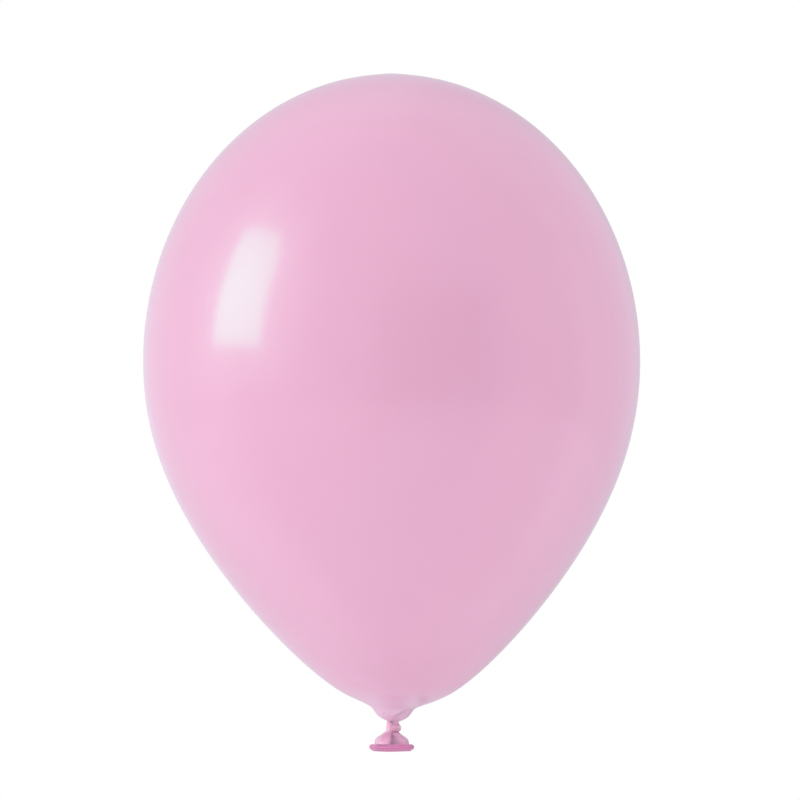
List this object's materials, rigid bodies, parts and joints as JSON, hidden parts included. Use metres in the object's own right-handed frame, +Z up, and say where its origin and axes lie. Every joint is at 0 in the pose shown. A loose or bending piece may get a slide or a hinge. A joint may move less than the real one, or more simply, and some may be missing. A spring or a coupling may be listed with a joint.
{
  "type": "latex balloon",
  "caption": "Inflated teardrop latex party balloon, tied off with an overhand knot, with a flared tail and a rolled bead round its mouth.",
  "frame": {"origin": "the tie point, on the balloon's axis where the neck is pinched shut between the inflated body and the knot", "axes": "+Z up the balloon's axis, from the knot to the crown; -Z out of the open mouth; +Y away from the viewer, so +X is to the right"},
  "size_m": [0.28, 0.28, 0.3808],
  "materials": {
    "latex_stretched": "gloss",
    "latex_gathered": "gloss"
  },
  "bodies": {
    "balloon": {"envelope": "latex_stretched", "neck_bulb": "latex_stretched"},
    "throat": {"throat": "latex_gathered"},
    "knot": {"knot_tuck": "latex_gathered", "knot_loop": "latex_gathered"},
    "tail": {"skirt": "latex_gathered", "rolled_bead": "latex_gathered"}
  },
  "joints": [
    {"name": "throat_twist", "type": "hinge", "parent": "balloon", "child": "throat", "pos_m": [0, 0, 0], "axis": [0, 0, 1], "range_deg": [-90, 90], "stiffness_Nm_per_rad": 0.005},
    {"name": "knot_swing", "type": "hinge", "parent": "throat", "child": "knot", "pos_m": [0, 0, -0.002], "axis": [0, 1, 0], "range_deg": [-45, 45], "stiffness_Nm_per_rad": 0.005},
    {"name": "tail_flex", "type": "hinge", "parent": "knot", "child": "tail", "pos_m": [0, 0, -0.0068], "axis": [1, 0, 0], "range_deg": [-25, 25], "stiffness_Nm_per_rad": 0.005}
  ]
}
